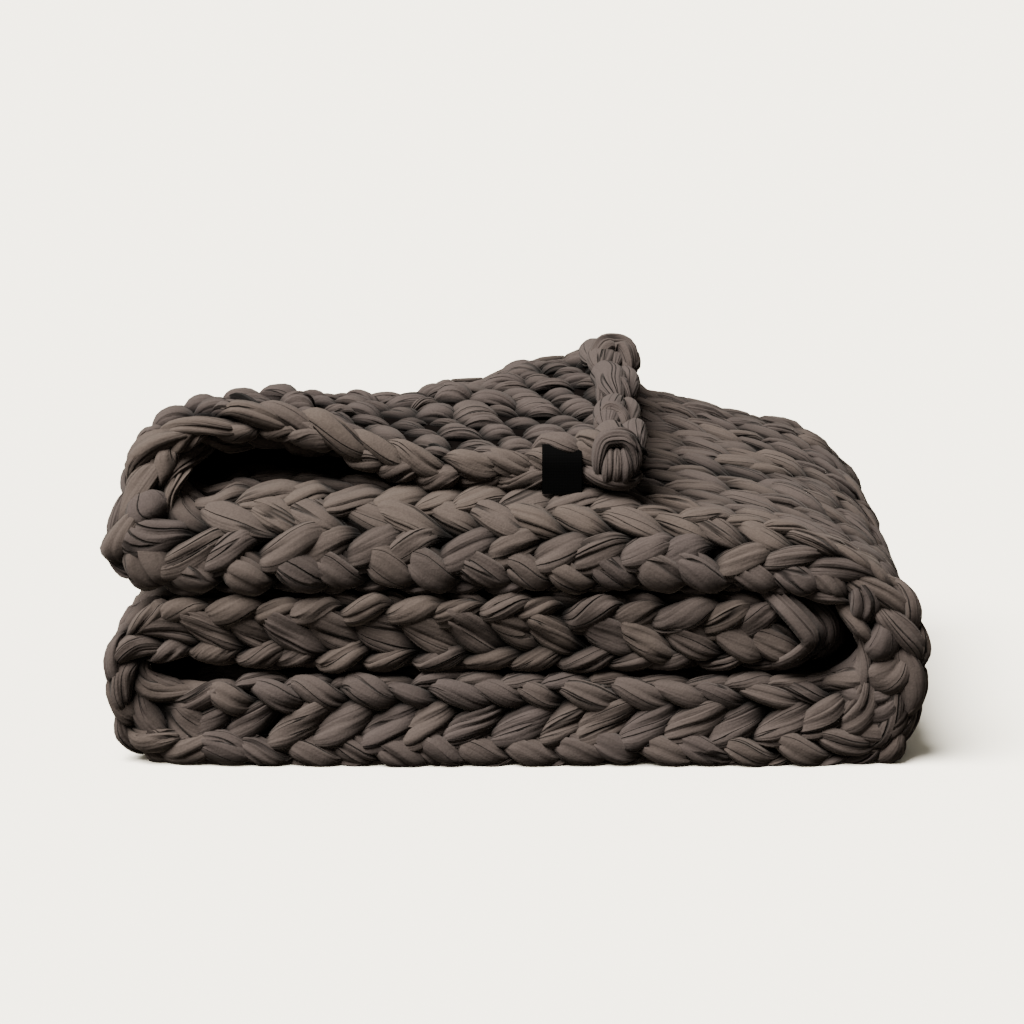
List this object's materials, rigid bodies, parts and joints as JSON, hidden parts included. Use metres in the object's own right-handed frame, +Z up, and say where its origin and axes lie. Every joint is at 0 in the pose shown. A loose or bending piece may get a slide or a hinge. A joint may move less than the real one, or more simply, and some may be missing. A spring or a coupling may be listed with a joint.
{
  "type": "weighted blanket",
  "caption": "Chunky hand-knit weighted blanket folded into a layered stack, one end turned back on top as a loose flap, with a bare black woven tab at its edge.",
  "frame": {"origin": "middle of the stack's underside, on the surface it lies on", "axes": "+X along the stack's long side, the flap's free end towards +X; +Y from the rolled front edge, where the tab hangs, to the back; +Z up"},
  "size_m": [0.5214, 0.4164, 0.2283],
  "materials": {
    "knit": "soft matt jersey tube yarn, dark taupe brown, thick stockinette loops with pleated legs",
    "tab": "flat black woven ribbon, bare"
  },
  "bodies": {
    "root": {"knit_blanket": "knit", "woven_tab": "tab"}
  },
  "joints": []
}
